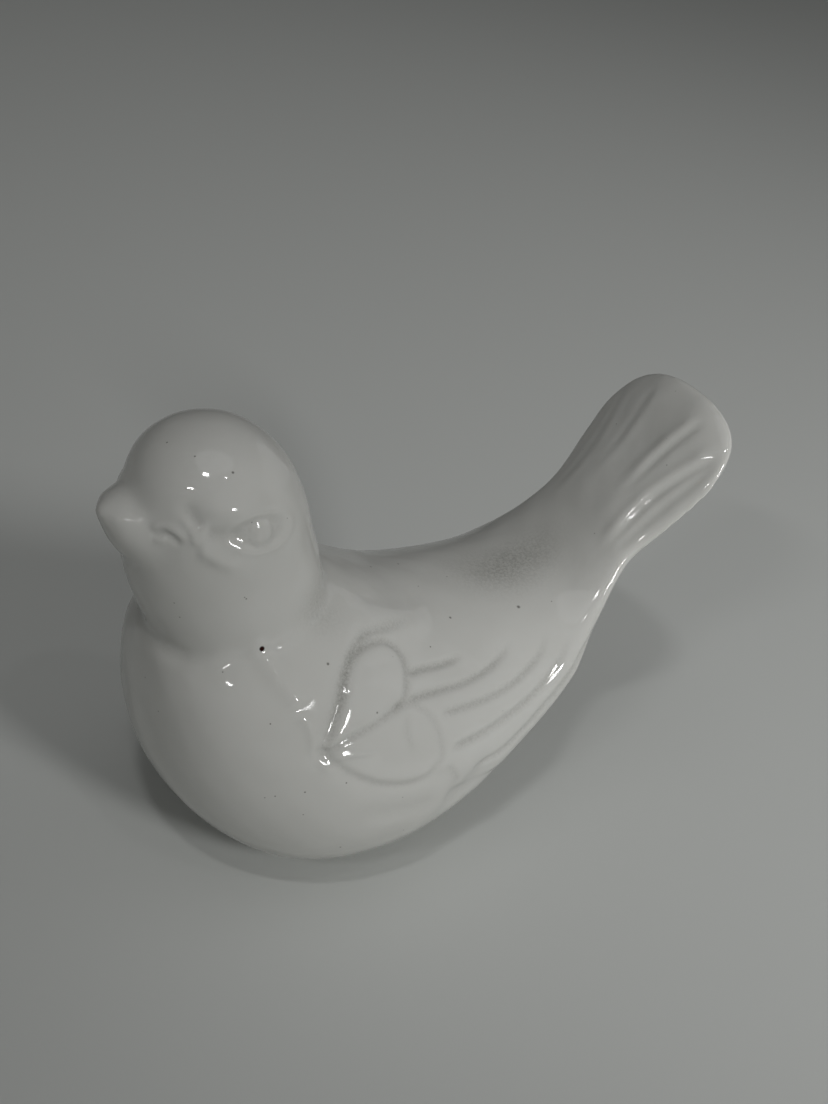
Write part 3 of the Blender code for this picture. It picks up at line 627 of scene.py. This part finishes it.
smears = add_node(tree, "ShaderNodeTexNoise", Vector=place, Scale=1 / (SMEAR_SIZE * MM),
                  Detail=2.0)
gloss = add_node(tree, "ShaderNodeMapRange", i0=smears.outputs["Fac"],
                 i1=0.35, i2=0.7, i3=0.04, i4=0.085)
dull_foot = add_node(tree, "ShaderNodeMath", {"operation": "MULTIPLY"},
                     i0=bare.outputs[0], i1=0.8)
gloss = add_node(tree, "ShaderNodeMath", {"operation": "MAXIMUM"},
                 i0=gloss.outputs[0], i1=dull_foot.outputs[0])
tree.links.new(gloss.outputs[0], shader.inputs["Roughness"])
ripples = add_node(tree, "ShaderNodeTexNoise", Vector=place, Scale=1 / (RIPPLE_SIZE * MM),
                   Detail=1.5)
sunken = add_node(tree, "ShaderNodeMath", {"operation": "SUBTRACT"},
                  i0=ripples.outputs["Fac"], i1=burst.outputs[0])
rippled = add_node(tree, "ShaderNodeBump", Height=sunken.outputs[0], Distance=0.09 * MM,
                   Strength=0.6)
tree.links.new(rippled.outputs["Normal"], shader.inputs["Normal"])
cast.materials.clear()
cast.materials.append(glaze)

# Table top: a plain pale board of satin laminate that the bird stands on. It
# isn't part of the object.
BOARD_HALF = 3
BOARD_GREY = "#cccecb"
board_mesh = bpy.data.meshes.new("table_top")
board_mesh.from_pydata([(-BOARD_HALF, -BOARD_HALF, 0), (BOARD_HALF, -BOARD_HALF, 0),
                        (BOARD_HALF, BOARD_HALF, 0), (-BOARD_HALF, BOARD_HALF, 0)],
                       [], [(0, 1, 2, 3)])
board = bpy.data.objects.new("table_top", board_mesh)
bpy.context.scene.collection.objects.link(board)
# Grey laminate, pressed satin: it gives an even, dull floor with no sharp images.
laminate = bpy.data.materials.new("grey_laminate")
laminate.use_nodes = True
laminate_shader = laminate.node_tree.nodes["Principled BSDF"]
laminate_shader.inputs["Base Color"].default_value = colour(BOARD_GREY)
laminate_shader.inputs["Roughness"].default_value = 0.55
board_mesh.materials.append(laminate)

# Lamps: soft light from above, behind and in front, a wide soft spot from the
# bird's left, and small bright panels whose images are the hard highlights.
ROOM_GREY = "#c8cac8"
ROOM_STRENGTH = 0.09
PANEL_FAR = 2.0             # metres from the bird to the small bright panels
MIDDLE = (0, 0, 0.04)
SIDE_AIM = (0.07, 0.17, 0.02)
world = bpy.data.worlds.new("room")
bpy.context.scene.world = world
world.use_nodes = True
world.node_tree.nodes["Background"].inputs["Color"].default_value = colour(ROOM_GREY)
world.node_tree.nodes["Background"].inputs["Strength"].default_value = ROOM_STRENGTH


def hang(light, spot, aim):
    """The light hung at a spot in metres and turned to its aim."""
    obj = bpy.data.objects.new(light.name, light)
    bpy.context.scene.collection.objects.link(obj)
    obj.location = spot
    obj.rotation_euler = (Vector(aim) - Vector(spot)).to_track_quat("-Z", "Y").to_euler()


def panel(name, spot, power, width, depth=None):
    """A glowing panel that faces the bird: a disc, or an oblong if it has a depth."""
    light = bpy.data.lights.new(name, "AREA")
    light.energy = power
    light.shape = "RECTANGLE" if depth else "DISK"
    light.size = width
    if depth:
        light.size_y = depth
    hang(light, spot, MIDDLE)


def toward(x, y, z):
    """A place above the bird in the direction (x, y, z)."""
    return (x * PANEL_FAR, y * PANEL_FAR, 0.05 + z * PANEL_FAR)


panel("window_behind", (0.0, 0.70, 0.25), 0.35, 0.8, 0.5)
panel("soft_overhead", (0.10, 0.0, 0.90), 0.45, 0.6)
panel("front_fill", (0.25, -0.65, 0.20), 0.08, 0.6, 0.4)
panel("ceiling_panel", toward(0.34, -0.26, 0.90), 3.0, 0.17, 0.09)
panel("ceiling_spot", toward(0.51, 0.07, 0.86), 0.6, 0.06)
panel("far_strip", toward(0.40, -0.65, 0.63), 2.4, 0.30, 0.06)
side_lamp = bpy.data.lights.new("side_lamp", "SPOT")
side_lamp.energy = 26.0
side_lamp.spot_size = 0.62
side_lamp.spot_blend = 1.0
side_lamp.shadow_soft_size = 0.12
hang(side_lamp, (0.95, 0.22, 0.50), SIDE_AIM)

# Camera: it looks down on the bird from the front left, from about a foot away,
# with its roll and its focal length worked out from the bird's outline.
CAMERA_AT = (222.7221, -143.49, 222.2615)
CAMERA_YAW, CAMERA_PITCH, CAMERA_ROLL = 0.5719, 0.565, 0.1196
CAMERA_PIXELS = 1650        # focal length in pixels of the 828 x 1104 picture
PICTURE_HEIGHT = 1104
SENSOR_WIDTH, SENSOR_HEIGHT = 27, 36
camera_data = bpy.data.cameras.new("camera")
camera_data.sensor_fit = "VERTICAL"
camera_data.sensor_height = SENSOR_HEIGHT
camera_data.sensor_width = SENSOR_WIDTH
camera_data.lens = CAMERA_PIXELS / PICTURE_HEIGHT * SENSOR_HEIGHT
camera_data.clip_start = 0.01
camera = bpy.data.objects.new("camera", camera_data)
bpy.context.scene.collection.objects.link(camera)
ahead = Vector((-math.cos(CAMERA_YAW) * math.cos(CAMERA_PITCH),
                math.sin(CAMERA_YAW) * math.cos(CAMERA_PITCH), -math.sin(CAMERA_PITCH)))
level = ahead.cross(Vector((0, 0, 1))).normalized()
upright = level.cross(ahead)
across = level * math.cos(CAMERA_ROLL) + upright * math.sin(CAMERA_ROLL)
upward = upright * math.cos(CAMERA_ROLL) - level * math.sin(CAMERA_ROLL)
stand = Matrix((across, upward, -ahead)).transposed().to_4x4()
stand.translation = Vector(CAMERA_AT) * MM
camera.matrix_world = stand
bpy.context.scene.camera = camera
bpy.context.scene.view_settings.view_transform = "Standard"
